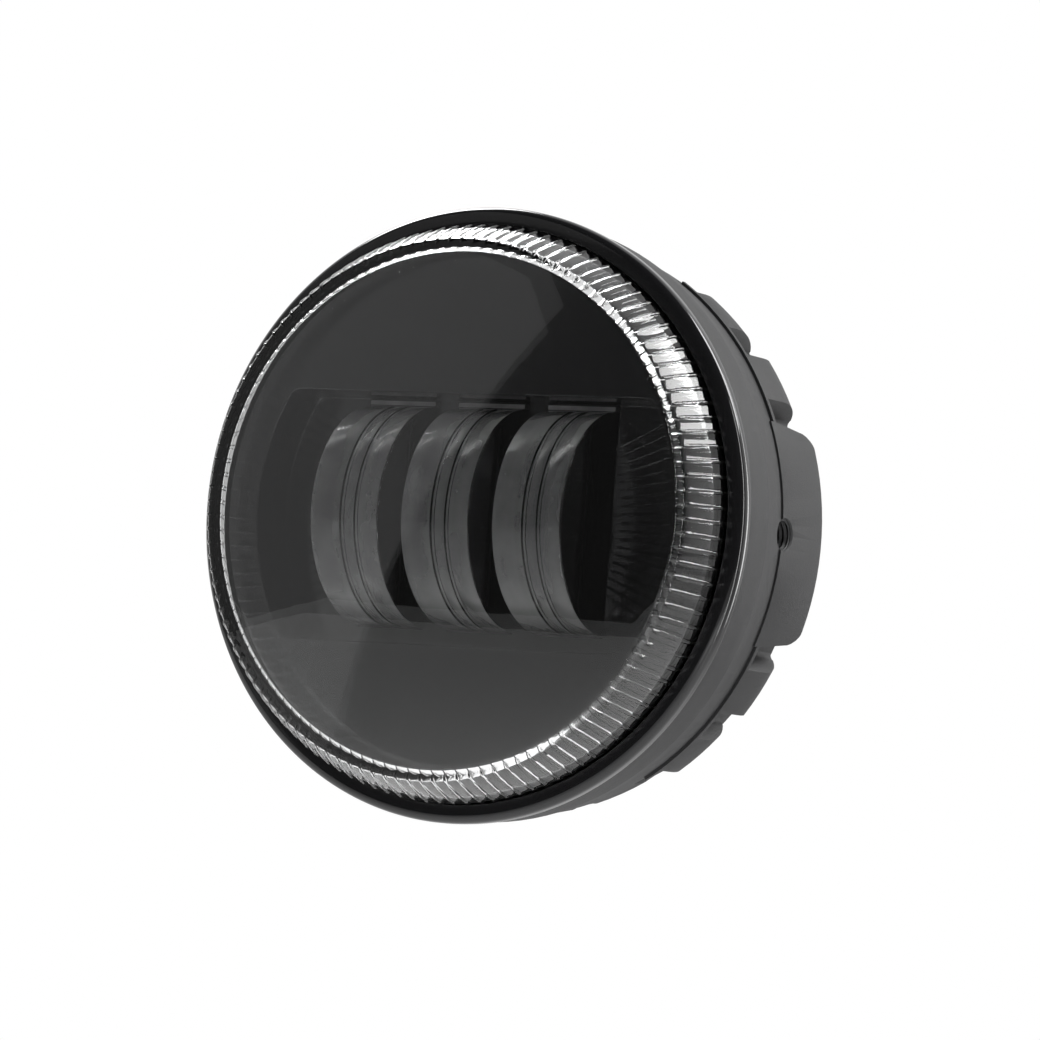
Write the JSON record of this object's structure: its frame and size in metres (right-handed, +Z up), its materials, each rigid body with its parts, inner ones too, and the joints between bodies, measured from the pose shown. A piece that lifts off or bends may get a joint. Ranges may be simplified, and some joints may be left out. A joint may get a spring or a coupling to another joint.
{
  "type": "fog light",
  "caption": "Round sealed LED fog light: clear lens with a ribbed edge, gloss black rim and mask, half-disc lens bars, and a matte black lobed heat-sink housing.",
  "frame": {"origin": "centre of the lamp's bounding box, on the lamp's axis", "axes": "+Y along the lamp's axis from the lens to the rear, so light leaves towards -Y; +Z up; +X to the right seen from the front, towards the right side mounting thread"},
  "size_m": [0.1142, 0.0694, 0.1142],
  "materials": {
    "clear_lens": "clear polycarbonate, polished, ribbed edge",
    "sealant": "cured bonding bead, satin",
    "gloss_black": "high-gloss black",
    "mask_black": "moulded gloss black",
    "bar_optic": "clear moulded optic, polished",
    "black_plastic": "moulded satin black",
    "screw_steel": "zinc-plated, satin",
    "screw_black": "black-coated steel, satin",
    "white_mask_board": "white solder mask over aluminium",
    "led_ceramic": "matte ceramic",
    "led_silicone": "clear silicone over yellow phosphor",
    "gap_pad": "soft silicone gap pad, matte",
    "housing_black": "fine-textured matte black powder coat",
    "black_rubber": "moulded rubber, matte",
    "wire_red": "wire insulation, satin",
    "green_board": "green solder mask, semi-gloss",
    "standoff_brass": "turned brass",
    "ferrite": "sintered ferrite, matte",
    "copper_wire": "enamelled copper, gloss",
    "capacitor_can": "drawn can, satin",
    "chip_black": "moulded epoxy, matte",
    "terminal_white": "moulded nylon, satin",
    "vent_cloth": "porous membrane, matte",
    "gland_nylon": "moulded nylon, satin"
  },
  "bodies": {
    "root": {"outer_lens": "clear_lens", "lens_seal": "sealant", "rim_ring": "gloss_black", "front_mask": "mask_black", "lens_bar_left": "bar_optic", "lens_bar_centre": "bar_optic", "lens_bar_right": "bar_optic", "lens_carrier": "black_plastic", "carrier_screws": "screw_steel", "led_board": "white_mask_board", "led_chips": "led_ceramic", "led_domes": "led_silicone", "thermal_pad": "gap_pad", "housing": "housing_black", "wire_grommet": "black_rubber", "led_wires": "wire_red", "driver_board": "green_board", "driver_standoffs": "standoff_brass", "driver_screws": "screw_steel", "choke_core": "ferrite", "choke_winding": "copper_wire", "capacitors": "capacitor_can", "driver_chip": "chip_black", "diodes": "chip_black", "input_terminal": "terminal_white", "rear_gasket": "black_rubber", "rear_cover": "housing_black", "rear_cover_screws": "screw_black", "vent_plug": "black_plastic", "vent_membrane": "vent_cloth", "gland_body": "gland_nylon", "gland_seal": "black_rubber", "gland_nut": "gland_nylon"}
  },
  "joints": []
}
